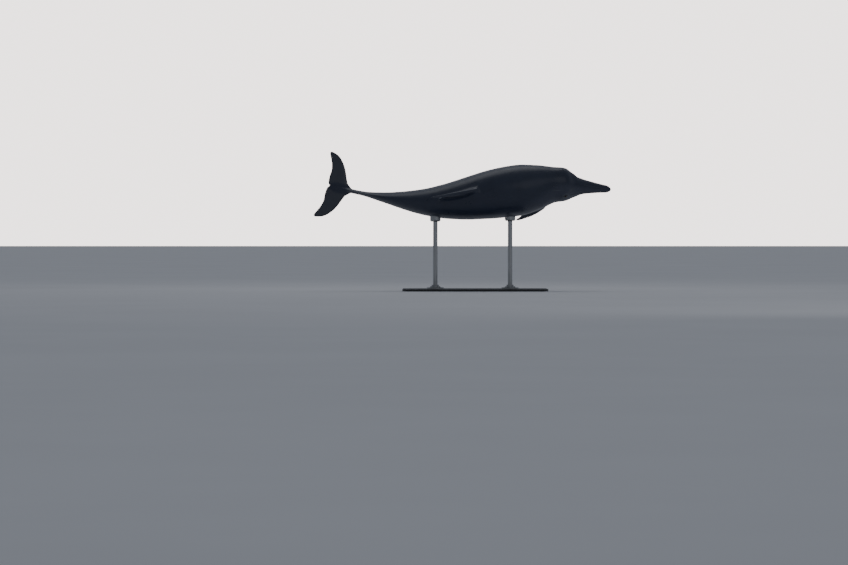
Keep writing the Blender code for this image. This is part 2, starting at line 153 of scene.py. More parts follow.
def curveThrough(x, y, at):
    # cubic through keys x, y (y may have a row for each place asked) that never overshoots them:
    # each inner slope is the harmonic mean of its two chords
    x = np.asarray(x, float)
    y = np.asarray(y, float)
    chord = np.diff(y, axis=-1) / np.diff(x)
    sameWay = chord[..., 1:] * chord[..., :-1] > 0
    pair = np.where(sameWay, chord[..., 1:] + chord[..., :-1], 1.0)
    slope = np.zeros(y.shape)
    slope[..., 1:-1] = np.where(sameWay, 2 * chord[..., 1:] * chord[..., :-1] / pair, 0.0)
    slope[..., 0] = chord[..., 0]
    slope[..., -1] = chord[..., -1]
    at = np.clip(at, x[0], x[-1])
    k = np.clip(np.searchsorted(x, at, side="right") - 1, 0, len(x) - 2)
    step = x[k + 1] - x[k]
    t = (at - x[k]) / step
    startY, endY, startSlope, endSlope = y[..., k], y[..., k + 1], slope[..., k], slope[..., k + 1]
    return (
        (1 + 2 * t) * (1 - t) ** 2 * startY + t * (1 - t) ** 2 * step * startSlope
        + t * t * (3 - 2 * t) * endY + t * t * (t - 1) * step * endSlope
    )


def keyed(keys, column, at):
    return curveThrough([key[0] for key in keys], [key[column] for key in keys], at)


def spineTable():
    # rise and turn swing forward, left and back roll round it, and the steps back from the beak add up
    s = np.linspace(-0.05, 1.10, 461)
    rise, turn, roll = (np.radians(keyed(pose, column, s)) for column in (1, 2, 3))
    forward = np.stack([np.cos(rise) * np.cos(turn), -np.sin(turn), np.sin(rise) * np.cos(turn)], axis=1)
    levelLeft = np.stack([-np.sin(rise), np.zeros_like(s), np.cos(rise)], axis=1)
    levelBack = np.cross(forward, levelLeft)
    back = levelBack * np.cos(roll)[:, None] + levelLeft * np.sin(roll)[:, None]
    left = levelLeft * np.cos(roll)[:, None] - levelBack * np.sin(roll)[:, None]
    steps = -(forward[1:] + forward[:-1]) / 2 * (np.diff(s) * bodyLength)[:, None]
    point = np.concatenate([np.zeros((1, 3)), np.cumsum(steps, axis=0)])
    start = np.array([np.interp(0.0, s, point[:, axis]) for axis in range(3)])
    return s, point - start + np.array(beakTip), left, back


spine = spineTable()


def spineAt(station, which):
    return np.stack([np.interp(station, spine[0], spine[which][:, axis]) for axis in range(3)], axis=-1)


def place(spot):
    # spine point + left and up along the rolled directions
    return (
        spineAt(spot[..., 0], 1)
        + spineAt(spot[..., 0], 2) * (spot[..., 1] * bodyLength)[..., None]
        + spineAt(spot[..., 0], 3) * (spot[..., 2] * bodyLength)[..., None]
    )


def sectionSize(station):
    ends = np.sqrt(1 - (1 - np.clip(station / endRounding["nose"], 0, 1)) ** 2)
    ends = ends * np.sqrt(1 - (1 - np.clip((1 - station) / endRounding["notch"], 0, 1)) ** 2)
    width, back, belly, ridge = (keyed(sections, column, station) for column in (1, 2, 3, 4))
    return width * ends, back * ends, belly * ends, ridge


def sharpRadius(station, angle):
    # superellipse |across|^(2 ridge) + up^2 = 1 by repeated scaling, then a soft maximum with the melon's egg
    width, back, belly, ridge = sectionSize(station)
    height = np.where(np.cos(angle) > 0, back, belly)
    across = np.abs(np.sin(angle)) / np.maximum(width, 1e-6)
    along = np.abs(np.cos(angle)) / np.maximum(height, 1e-6)
    radius = 1 / np.sqrt(across**2 + along**2)
    for _ in range(12):
        radius = radius / np.sqrt((radius * across) ** (2 * ridge) + (radius * along) ** 2)
    left = 1 - ((station - melon["station"]) / melon["length"]) ** 2
    a = (np.sin(angle) / melon["width"]) ** 2 + (np.cos(angle) / melon["rise"]) ** 2
    b = -2 * np.cos(angle) * melon["height"] / melon["rise"] ** 2
    c = (melon["height"] / melon["rise"]) ** 2 - left
    inside = b * b - 4 * a * c
    egg = np.where((left > 0) & (inside > 0), (-b + np.sqrt(np.maximum(inside, 0))) / (2 * a), 0.0)
    soft = (radius + egg + np.sqrt((radius - egg) ** 2 + melon["blend"] ** 2)) / 2
    head = smoothStep(*melon["front"], station) * (1 - smoothStep(*melon["rear"], station))
    return radius + (soft - radius) * head


def skinRadius(station, angle):
    # the sharp radius averaged over a short reach of stations, so that no key shows in the gloss
    station = np.asarray(station, float)
    reach = 0.010 * np.minimum(1, np.minimum(station / 0.05, (1 - station) / 0.06))
    shifts = np.linspace(-1, 1, 9)
    weights = np.exp(-((shifts / 0.6) ** 2))
    total = sum(w * sharpRadius(np.clip(station + reach * d, 0, 1), angle) for d, w in zip(shifts, weights))
    return total / weights.sum()


def skinSpot(station, turn):
    # straight-space point; turn runs evenly round the section's ellipse from the back (0) over the left side
    station, turn = np.broadcast_arrays(station, turn)
    width, back, belly, _ = sectionSize(station)
    height = np.where(np.cos(turn) > 0, back, belly)
    angle = np.arctan2(width * np.sin(turn), height * np.cos(turn))
    radius = skinRadius(station, angle)
    return np.stack([station, radius * np.sin(angle), radius * np.cos(angle)], axis=-1)


def turnOf(station, angle):
    # the ellipse's turn at which the skin lies at this angle from the back
    width, back, belly, _ = sectionSize(station)
    height = np.where(np.cos(angle) > 0, back, belly)
    return np.arctan2(np.sin(angle) / width, np.cos(angle) / height)


# the grid that one skin is laid on: rows along the body, columns round it
skinGrid = {
    "rows": 432,
    "bands": ((0, 18, 26), (18, 70, 20), (70, 110, 44), (110, 180, 24)),  # from, to, columns of a half ring
    # station, distance between rows there
    "spacing": (
        (0.000, 0.00003), (0.0004, 0.0001), (0.002, 0.0004), (0.010, 0.0011), (0.030, 0.0018),
        (0.120, 0.0020), (0.145, 0.0010), (0.156, 0.0006), (0.177, 0.0006), (0.186, 0.0011),
        (0.228, 0.0013), (0.238, 0.0009), (0.325, 0.0010), (0.335, 0.0018), (0.360, 0.0044),
        (0.420, 0.0045), (0.450, 0.0028), (0.600, 0.0028), (0.640, 0.0060), (0.850, 0.0070),
        (0.900, 0.0026), (0.920, 0.0017), (0.985, 0.0015), (0.996, 0.0006), (1.000, 0.00008),
    ),
    # station, turn of the fine side band's middle and half its width: mouth, eye, flipper, flukes
    "sideBand": (
        (0.000, 92.6, 20.0), (0.030, 100.0, 20.0), (0.065, 104.0, 20.0), (0.100, 106.0, 20.0),
        (0.135, 104.5, 16.0), (0.152, 99.0, 11.0), (0.166, 94.0, 9.0), (0.180, 99.0, 12.0),
        (0.230, 146.0, 19.0), (0.330, 157.6, 18.0), (0.390, 136.0, 20.0), (0.520, 98.0, 20.0),
        (0.800, 90.0, 24.0), (0.890, 90.0, 42.0), (0.930, 90.0, 56.0), (1.000, 90.0, 60.0),
    ),
}


# where each fin's root is looked for, the height over which it grows out, the reach and power of its fillet,
# the share of its columns that lie on the fin, and whether its rows slide round the skin
finRoots = {
    "dorsal": {
        "search": (0.40, 0.65), "ramp": 0.012, "fillet": 0.010, "power": 2, "side": 0.72, "slides": False,
    },
    "flipper": {
        "search": (0.225, 0.335), "ramp": 0.009, "fillet": 0.004, "power": 3, "side": 0.70, "slides": True,
    },
    "fluke": {
        "search": (0.88, 0.9995), "ramp": 0.010, "fillet": 0.007, "power": 2, "side": 0.66, "slides": False,
    },
}
# how far the fillets are smoothed, and how many rows past the ends of the flippers' roots
smoothing = {"share": 0.7, "rounds": 14, "rowsPast": 6, "fade": 0.96, "flipper": (0.21, 0.35)}


def rowStations(grid):
    # rows crowd where the spacing keys are small: the running sum of 1 / spacing, read backwards
    s = np.linspace(0, 1, 40001)
    keyS, keyStep = np.array(grid["spacing"]).T
    density = np.exp(-np.interp(s, keyS, np.log(keyStep)))
    total = np.concatenate([[0], np.cumsum((density[1:] + density[:-1]) / 2)])
    return np.interp(np.linspace(0, total[-1], grid["rows"] + 2)[1:-1], total, s)


def columnShares(grid):
    pieces = [np.linspace(low, high, count + 1)[1:] for low, high, count in grid["bands"]]
    return np.concatenate([[0.0], *pieces])


def unit(vector):
    return vector / np.linalg.norm(vector)


def finFrame(fin):
    # out along the span, chord squared to it, through = out x chord
    out = unit(np.array(fin["out"]))
    chord = unit(np.array(fin["chord"]) - np.dot(fin["chord"], out) * out)
    return out, chord, np.cross(out, chord)


def finFlat(fin, spot):
    # where a point lies in the fin: share of the span, distance along the chord, distance through it
    out, chord, through = finFrame(fin)
    away = spot - np.array(fin["foot"])
    return away @ out / fin["span"], away @ chord, away @ through


def finSpot(fin, span, along, across=0.0):
    out, chord, through = finFrame(fin)
    span, along, across = (np.asarray(value, float)[..., None] for value in (span, along, across))
    return np.array(fin["foot"]) + span * fin["span"] * out + along * chord + across * through


def finEdges(fin, span):
    # leading and trailing edge and half thickness; all close in at the rounded tip
    leading, trailing, thick = (keyed(fin["edges"], column, span) for column in (1, 2, 3))
    tip = np.sqrt(1 - np.clip((span - 1 + finTip) / finTip, 0, 1) ** 2)
    middle = (leading + trailing) / 2
    half = (trailing - leading) / 2 * tip
    return middle - half, middle + half, thick * tip


def finHalfThickness(fin, span, along):
    # T = thick sqrt(1 - c^2) (1 - bias c), with c from -1 at the leading to 1 at the trailing edge
    leading, trailing, thick = finEdges(fin, np.clip(span, 0, 1))
    c = np.clip((2 * along - leading - trailing) / np.maximum(trailing - leading, 1e-6), -1, 1)
    return thick * np.sqrt(1 - c * c) * (1 - noseBias * c)


def rimOf(fin, spanFront, spanRear):
    # the outline from the front root over the tip to the rear root, at equal shares of a length that is
    # stretched near the tip so that more rows go round it
    x = np.linspace(0, 1, 600)
    front = spanFront + (1 - spanFront) * (1 - (1 - x) ** 2)
    rear = (spanRear + (1 - spanRear) * (1 - (1 - x) ** 2))[::-1]
    points = np.concatenate([
        np.stack([front, finEdges(fin, front)[0]], axis=1),
        np.stack([rear, finEdges(fin, rear)[1]], axis=1)[1:],
    ])
    step = np.hypot(np.diff(points[:, 0]) * fin["span"], np.diff(points[:, 1]))
    nearTip = bell((points[1:, 0] + points[:-1, 0]) / 2, 1.0, 0.12)
    length = np.concatenate([[0], np.cumsum(step * (1 + 1.6 * nearTip))])
    return length / length[-1], points


def foldTurns(fin, station, low, high):
    # the turn at which the skin crosses the fin's middle plane, found between two turns for each station
    turns = np.linspace(low, high, 91)
    _, _, across = finFlat(fin, skinSpot(station[:, None], turns[None, :]))
    first = np.argmax(across[:, 1:] * across[:, :-1] <= 0, axis=1)
    rows = np.arange(len(station))
    a, b = across[rows, first], across[rows, first + 1]
    return turns[first] + (turns[1] - turns[0]) * np.clip(a / np.where(a == b, 1, a - b), 0, 1)


def rootEnds(fin, station, fold):
    # stations where the skin along the fold crosses the fin's leading and trailing edge
    span, along, _ = finFlat(fin, skinSpot(station, fold))
    leading, trailing, _ = finEdges(fin, np.clip(span, 0, 0.9))
    inside = (along > leading) & (along < trailing)
    front, rear = np.flatnonzero(inside)[[0, -1]]
    return station[front], station[rear], span[front], span[rear]


# the eye: where it lies on the skin, the ball, and the opening between the lids, in millimetres
eye = {
    "station": 0.166, "angle": 94.0, "radius": 13.5, "depth": 9.5, "gap": 0.3, "bulge": 0.55,
    "halfLength": 12.6, "halfHeight": 7.4, "tilt": -8.0, "crowd": 0.62,
}
eyeTurn = turnOf(np.array(eye["station"]), np.radians(eye["angle"]))


def tilted(x, y, degrees):
    # x and y turned anticlockwise
    cosine, sine = math.cos(math.radians(degrees)), math.sin(math.radians(degrees))
    return x * cosine - y * sine, y * cosine + x * sine


def eyeOnSkin(station, turn):
    # millimetres forwards and upwards from the eye's middle, over the skin
    _, _, belly, _ = sectionSize(np.array(eye["station"]))
    perTurn = float(belly) * mmPerStation
    forward = -(station - eye["station"]) * mmPerStation
    return *tilted(forward, -(turn - eyeTurn) * perTurn, -eye["tilt"]), perTurn


def openedForEye(station, turn):
    # grid points slide along their rays from the eye's middle so that they crowd on the rim of the lids:
    # r' = r - crowd (r - 1) exp(-((r - 1) / 0.5)^2), with r = 1 on the rim
    x, y, perTurn = eyeOnSkin(station, turn)
    r = np.hypot(x / eye["halfLength"], y / eye["halfHeight"])
    slide = 1 - eye["crowd"] * (r - 1) * bell(r, 1.0, 0.5) * smoothStep(0, 0.4, r) / np.maximum(r, 0.05)
    dx, dy = tilted(x * (slide - 1), y * (slide - 1), eye["tilt"])
    return turn - dy / perTurn, station - dx / mmPerStation


def finPatch(spots, finShare, stations, turns, fin, fold, columns, ends, shape):
    # Pulls a fin out of the grid. From the patch's edge inwards the skin rises with k^power over the fillet,
    # then follows the fin's side M(w) + T n, where M(w) runs straight from the root to the rim.
    front, rear, spanFront, spanRear = ends
    rows = np.flatnonzero((stations > front) & (stations < rear))
    s = stations[rows]
    along01, rimPoints = rimOf(fin, spanFront, spanRear)
    f = (s - front) / (rear - front)
    spanR, alongR = (np.interp(f, along01, rimPoints[:, axis]) for axis in (0, 1))
    root = skinSpot(s, fold[rows])
    spanB, alongB, _ = finFlat(fin, root)
    height = np.linalg.norm(finSpot(fin, spanR, alongR) - root, axis=1)
    grown = smoothStep(0, shape["ramp"], height)[:, None]
    through = finFrame(fin)[2]
    e = np.linspace(0, 1, len(columns[0]))
    onFillet = e >= shape["side"]
    w1 = np.minimum(shape["fillet"] / np.maximum(height, 1e-6), 0.35)
    for side in columns:
        edge = turns[rows, side[-1]] - fold[rows]
        middle = skinSpot(s, fold[rows] + edge / 2)
        normal = through * np.sign(((middle - root) @ through))[:, None]
        spanE, alongE = spanB + w1 * (spanR - spanB), alongB + w1 * (alongR - alongB)
        thickE = finHalfThickness(fin, spanE, alongE)
        fractions = np.linspace(0, 0.8, 33)
        samples = skinSpot(s[:, None], fold[rows][:, None] + edge[:, None] * fractions)
        reach = np.einsum("ijk,ik->ij", samples - root[:, None], normal)
        under = np.clip((reach < thickE[:, None]).sum(axis=1) - 1, 0, 31)
        index = np.arange(len(rows))
        low, high = reach[index, under], reach[index, under + 1]
        part = np.clip((thickE - low) / np.maximum(high - low, 1e-7), 0, 1)
        turnC = edge * (fractions[under] + part * (fractions[1] - fractions[0]))
        k = np.clip((1 - e) / (1 - shape["side"]), 0, 1)
        turnBody = turnC[:, None] + (edge - turnC)[:, None] * (1 - k) ** 2
        spotC = skinSpot(s, fold[rows] + turnC)
        spotE = finSpot(fin, spanE, alongE) + thickE[:, None] * normal
        x = np.clip(1 - e / shape["side"], 0, 1)
        w = w1[:, None] + (1 - w1)[:, None] * np.sin(math.pi / 2 * x)
        span = spanB[:, None] + w * (spanR - spanB)[:, None]
        chordwise = alongB[:, None] + w * (alongR - alongB)[:, None]
        thick = finHalfThickness(fin, span, chordwise)
        sideSkin = finSpot(fin, span, chordwise) + thick[..., None] * normal[:, None]
        # on the round chest each point's foot slides round the skin as the point rises, so that no chord cuts
        # the body; on the slim tail and the ridge of the back a straight blend is as good
        footTurn = fold[rows][:, None] + np.where(onFillet, turnBody, turnC[:, None] * (1 - x))
        foot = skinSpot(s[:, None], footTurn)
        filletLift = (k ** shape["power"])[:, None] * (spotE - spotC)[:, None]
        lift = np.where(onFillet[:, None], filletLift, sideSkin - foot)
        patch = np.ix_(rows, side)
        if shape["slides"]:
            turns[patch] = turns[patch] + grown * (footTurn - turns[patch])
            spots[patch] = skinSpot(s[:, None], turns[patch]) + grown[..., None] * lift
        else:
            spots[patch] = spots[patch] + grown[..., None] * (foot + lift - spots[patch])
        finShare[patch] = grown * np.where(onFillet, 0.12 * k**2, 0.12 + 0.88 * w)


def smoothedGrid(points, mask, rounds):
    # each masked point moves part of the way to the mean of its four neighbours, a few times over
    for _ in range(rounds):
        rowMean = points.copy()
        rowMean[1:-1] = (points[2:] + points[:-2]) / 2
        columnMean = (np.roll(points, 1, axis=1) + np.roll(points, -1, axis=1)) / 2
        points = points + mask[..., None] * ((rowMean + columnMean) / 2 - points)
    return points


def wholeRing(half, flip=(1, 1, 1)):
    # the left half's columns, then the right half's mirrored back to the start
    mirrored = half[:, -2:0:-1]
    return np.concatenate([half, mirrored * np.array(flip) if half.ndim == 3 else mirrored], axis=1)


def straightSkin():
    # the body's rows and columns with all five fins drawn out of them, in straight space
    stations = rowStations(skinGrid)
    shares = columnShares(skinGrid)
    middle, half = (keyed(skinGrid["sideBand"], column, stations) for column in (1, 2))
    flipperTurn = foldTurns(fins["flipper"], stations, math.radians(120), math.radians(170))
    exact = smoothStep(0.222, 0.236, stations) * (1 - smoothStep(0.326, 0.338, stations))
    middle = middle + exact * (np.degrees(flipperTurn) - middle)
    flat = 0 * middle
    knots = np.stack([flat, flat + 18, middle - half, middle, middle + half, flat + 180], axis=1)
    turns = np.radians(curveThrough((0, 18, 70, 90, 110, 180), knots, shares))
    backCount = skinGrid["bands"][0][2]
    fold = backCount + skinGrid["bands"][1][2] + skinGrid["bands"][2][2] // 2
    reach = np.arange(skinGrid["bands"][2][2] // 2 + 1)
    # round the flipper's root the side band's columns crowd on the fold, little by little along the body, so
    # that the fin's own crowded columns need no jump between two rows: share' = share^4
    band = slice(fold - reach[-1], fold + reach[-1] + 1)
    crowd = (smoothStep(0.196, 0.236, stations) * (1 - smoothStep(0.312, 0.352, stations)))[:, None]
    away = (turns[:, band] - np.radians(middle)[:, None]) / np.radians(half)[:, None]
    away = away + crowd * (np.sign(away) * np.abs(away) ** 4 - away)
    turns[:, band] = np.radians(middle)[:, None] + np.radians(half)[:, None] * away
    turns, warpedStations = openedForEye(stations[:, None] + 0 * turns, turns)
    spots = skinSpot(warpedStations, turns)
    finShare = np.zeros(turns.shape)
    for name, shape in finRoots.items():
        onBack = name == "dorsal"
        foldTurn = 0 * middle if onBack else np.radians(middle)
        columns = (np.arange(backCount + 1),) if onBack else (fold - reach, fold + reach)
        fine = np.linspace(*shape["search"], 900)
        ends = rootEnds(fins[name], fine, np.interp(fine, stations, foldTurn))
        finPatch(spots, finShare, stations, turns, fins[name], foldTurn, columns, ends, shape)
        print("  ", name, "rooted between stations", round(ends[0], 3), "and", round(ends[1], 3))
    allShare = wholeRing(finShare)
    near = bell(allShare, 0.10, 0.10) * (allShare > 0.001)
    # round the flippers the smoothing reaches a few rows past both ends of a root, where the fillet begins
    low, high = smoothing["flipper"]
    beside = (allShare < 0.2) * ((stations > low) & (stations < high))[:, None]
    for _ in range(smoothing["rowsPast"]):
        nextRow = np.maximum(np.roll(near, 1, axis=0), np.roll(near, -1, axis=0))
        near = np.maximum(near, smoothing["fade"] * nextRow * beside)
    for axis in (0, 1):
        near = (np.roll(near, 1, axis=axis) + 2 * near + np.roll(near, -1, axis=axis)) / 4
    near[:3] = 0
    near[-6:] = 0
    ring = smoothedGrid(wholeRing(spots, (1, -1, 1)), smoothing["share"] * near, smoothing["rounds"])
    bodyPlace = np.stack([wholeRing(warpedStations), wholeRing(turns) / math.pi, allShare], axis=-1)
    return ring, bodyPlace


# what is pressed into or stands out of the skin, in millimetres
mouth = {
    "line": (
        (0.000, -0.0005), (0.050, -0.0042), (0.100, -0.0078),
        (0.124, -0.0098), (0.138, -0.0093), (0.151, -0.0062),
    ),
    "end": 0.150, "depth": 2.8, "width": 1.5, "lip": 1.0, "lipWidth": 3.2, "lipsAt": (4.4, -4.2),
    "cornerFold": 0.9,
}
browCrease = {"station": 0.0965, "sweep": 0.016, "depth": 1.1, "width": 6.5, "swell": 0.5}
blowhole = {
    "station": 0.1765, "left": 5.0, "halfWidth": 13.0, "bow": 0.036, "depth": 4.6, "width": 2.2, "mound": 2.0,
    "lip": 0.9,
}
neckFolds = {"stations": (0.196, 0.2035, 0.2115), "depth": 0.55, "width": 4.6}
waveHeight = 0.35
earHole = {"station": 0.1865, "turn": 98.0, "depth": 1.2, "width": 2.2, "perDegree": 2.55}
# how far the skin lies inside the solids, so that nothing stands out of their box
inset = {"all": 0.15, "body": 0.75, "beakTip": 0.8, "finTip": 1.4, "notch": 4.5}


def ringNormals(points):
    # rows' step x columns' step, pointing outwards
    alongRows = np.gradient(points, axis=0)
    alongColumns = np.roll(points, -1, axis=1) - np.roll(points, 1, axis=1)
    normal = np.cross(alongRows, alongColumns)
    return normal / np.maximum(np.linalg.norm(normal, axis=-1, keepdims=True), 1e-12)


lids = {"over": 0.9, "swell": 1.3, "crease": 0.8, "outerCrease": 0.4, "bead": 0.35, "behind": 1.7}


def lidHeights(x, y, r):
    # the lids stand just over the ball: h = soft maximum of 0 and (ball + over), and inside the opening the
    # skin drops behind the ball's face
    flat = x * x + y * y
    ball = -eye["depth"] + np.sqrt(np.maximum(eye["radius"] ** 2 - flat, 0)) + flat / 300
    over = ball + lids["over"]
    over = (over + np.sqrt(over**2 + 1.0)) / 2
    reach = np.sqrt(flat)
    lid = over * (1 - smoothStep(15, 25, reach)) + lids["swell"] * bell(np.hypot(x / 30, y / 22), 0, 1)
    lid = lid - lids["crease"] * bell(r, 1.72, 0.13) * (0.55 + 0.45 * np.tanh(y / 3))
    lid = lid - lids["outerCrease"] * bell(r, 2.25, 0.14)
    fromRim = (r - 1) * reach / np.maximum(r, 0.05)
    lid = lid + lids["bead"] * bell(fromRim, 0.7, 0.7)
    behind = ball - lids["behind"]
    return np.where(r < 3.2, behind + (lid - behind) * smoothStep(-1.3, -0.1, fromRim), lid)


def mouthAt(station, up):
    # millimetres above the slit, and 1 where there is a slit
    fromLine = up - keyed(mouth["line"], 1, station) * mmPerStation
    return fromLine, 1 - smoothStep(mouth["end"] - 0.006, mouth["end"] + 0.002, station)


def blowholeAt(station, left):
    # millimetres behind the blowhole's bowed slit, beside its middle, and behind its middle
    back = (station - blowhole["station"]) * mmPerStation
    side = left - blowhole["left"]
    return back + blowhole["bow"] * side**2, side, back


def fromEar(station, share):
    earX = (station - earHole["station"]) * mmPerStation
    return np.hypot(earX, (share * 180 - earHole["turn"]) * earHole["perDegree"])


def eyeRing(station, share):
    # where a point lies from the eye's middle, and its share of the way to the rim of the lids
    x, y, _ = eyeOnSkin(station, share * math.pi)
    return x, y, np.hypot(x / eye["halfLength"], y / eye["halfHeight"])


def skinRelief(spots, bodyPlace):
    # millimetres outwards at each point of the skin, the sum of all the marks above
    station, left, up = spots[..., 0], spots[..., 1] * mmPerStation, spots[..., 2] * mmPerStation
    share, finShare = bodyPlace[..., 1], bodyPlace[..., 2]
    fromLine, mouthOn = mouthAt(station, up)
    lips = sum(bell(fromLine, at, mouth["lipWidth"]) for at in mouth["lipsAt"])
    relief = mouthOn * (mouth["lip"] * lips - mouth["depth"] * bell(fromLine, 0, mouth["width"]))
    # a soft fold that runs down and back from the corner of the mouth
    corner = (station - mouth["end"]) * mmPerStation
    relief -= mouth["cornerFold"] * bell(corner - 0.25 * fromLine, 3.0, 3.0) * bell(fromLine, -7, 11)
    angle = np.arctan2(np.abs(left), up)
    sweep = browCrease["sweep"] * (angle / (math.pi / 2)) ** 2
    crease = (station - browCrease["station"] - sweep) * mmPerStation
    creaseOn = 1 - smoothStep(1.2, 1.65, angle)
    relief -= browCrease["depth"] * bell(crease, 0, browCrease["width"]) * creaseOn
    relief += browCrease["swell"] * bell(crease, 18, 12) * creaseOn
    bow, side, back = blowholeAt(station, left)
    onTop = (up > 0) * (1 - smoothStep(blowhole["halfWidth"] - 3, blowhole["halfWidth"] + 1.5, np.abs(side)))
    relief += blowhole["mound"] * bell(np.hypot(back / 28, side / 26), 0, 1) * (up > 0)
    slit = blowhole["depth"] * bell(bow, 0, blowhole["width"])
    relief += onTop * (blowhole["lip"] * bell(bow, -4.5, 3.0) - slit)
    for fold in neckFolds["stations"]:
        swing = (station - fold - 0.004 * np.sin(3 * math.pi * share)) * mmPerStation
        relief -= neckFolds["depth"] * bell(swing, 0, neckFolds["width"]) * smoothStep(0.40, 0.85, share)
    relief -= earHole["depth"] * bell(fromEar(station, share), 0, earHole["width"])
    # flesh is never quite even: slow waves of a few tenths of a millimetre
    phase = station * 61
    waves = np.sin(phase + 5 * share) * np.sin(2.3 * phase + 9 * share + 1)
    relief += waveHeight * waves * smoothStep(0.16, 0.26, station)
    relief -= inset["all"] + inset["body"] * (1 - smoothStep(0.02, 0.10, finShare))
    relief -= inset["beakTip"] * bell(station, 0.0, 0.012) + inset["finTip"] * smoothStep(0.94, 1.0, finShare)
    relief -= inset["notch"] * smoothStep(0.984, 0.998, station) * (1 - smoothStep(0.0, 0.05, finShare))
    x, y, r = eyeRing(station, share)
    return relief + np.where(np.hypot(x, y) < 75, lidHeights(x, y, r), 0.0)


def withPoles(grid):
    # every point row by row, then the middles of the first and the last row
    return np.concatenate([grid.reshape(-1, grid.shape[-1]), grid[[0, -1]].mean(axis=1)])


def gridMesh(name, points):
    # quads between neighbouring rows and columns of a closed ring, and a fan of triangles from each end row
    # to its middle
    rowCount, columnCount = points.shape[:2]
    index = np.arange(rowCount * columnCount).reshape(rowCount, columnCount)
    across = np.roll(index, -1, axis=1)
    quads = np.stack([index[:-1], across[:-1], across[1:], index[1:]], axis=-1).reshape(-1, 4)
    pole = np.full(columnCount, index.size)
    startFan = np.stack([across[0], index[0], pole], axis=-1)
    endFan = np.stack([index[-1], across[-1], pole + 1], axis=-1)
    loops = np.concatenate([quads.ravel(), startFan.ravel(), endFan.ravel()]).astype(np.int32)
    sizes = np.repeat([4, 3], [len(quads), 2 * columnCount])
    corners = withPoles(points)
    mesh = bpy.data.meshes.new(name)
    mesh.vertices.add(len(corners))
    mesh.vertices.foreach_set("co", corners.astype(np.float32).ravel())
    mesh.loops.add(len(loops))
    mesh.loops.foreach_set("vertex_index", loops)
    mesh.polygons.add(len(sizes))
    mesh.polygons.foreach_set("loop_start", np.concatenate([[0], np.cumsum(sizes)[:-1]]).astype(np.int32))
    mesh.update(calc_edges=True)
    mesh.validate()
    return mesh


def addPiece(name, mesh, material, replaced=()):
    # a finished piece at the origin that rides on the one body and stands for its CAD nodes
    piece = bpy.data.objects.new(name, mesh)
    scene.collection.objects.link(piece)
    mesh.materials.append(material)
    mesh.polygons.foreach_set("use_smooth", np.ones(len(mesh.polygons), bool))
    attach(piece, "root")
    if replaced:
        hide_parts(*replaced)
    return piece


def attribute(mesh, name, values):
    layer = mesh.attributes.new(name, "FLOAT_VECTOR", "POINT")
    layer.data.foreach_set("vector", values.astype(np.float32).ravel())


def eyeAxes(side):
    # middle of the ball and its outward, forward and upward directions; side is 1 on the left, else -1
    flip = np.array([1, side, 1])
    step = np.array([0, -0.001, 0.001, 0, 0])
    swing = np.array([0, 0, 0, -0.01, 0.01])
    spots = place(skinSpot(eye["station"] + step, eyeTurn + swing) * flip)
    forward = spots[1] - spots[2]
    upward = spots[3] - spots[4]
    outward = np.cross(upward, forward) * side
    outward, forward = unit(outward), unit(forward)
    return spots[0] - outward * eye["depth"] / 1000, outward, forward, np.cross(forward, outward) * side


def eyeBall(side):
    # R - gap + bulge exp(-(angle / 38 degrees)^2) round the outward axis, so the clear front stands forward
    centre, outward, forward, upward = eyeAxes(side)
    polar = np.linspace(0.012, math.pi - 0.012, 56)[:, None]
    turn = np.linspace(0, 2 * math.pi, 65)[None, :-1]
    radius = (eye["radius"] + eye["bulge"] * bell(polar, 0, math.radians(38)) - eye["gap"]) / 1000
    local = np.stack([
        np.sin(polar) * np.cos(turn), np.sin(polar) * np.sin(turn), np.cos(polar) + 0 * turn,
    ], axis=-1)
    points = centre + radius[..., None] * (
        local[..., :1] * forward + local[..., 1:2] * upward + local[..., 2:] * outward
    )
    if side < 0:
        points, local = points[:, ::-1], local[:, ::-1]
    mesh = gridMesh("eye", points)
    attribute(mesh, "gaze", withPoles(local))
    return mesh


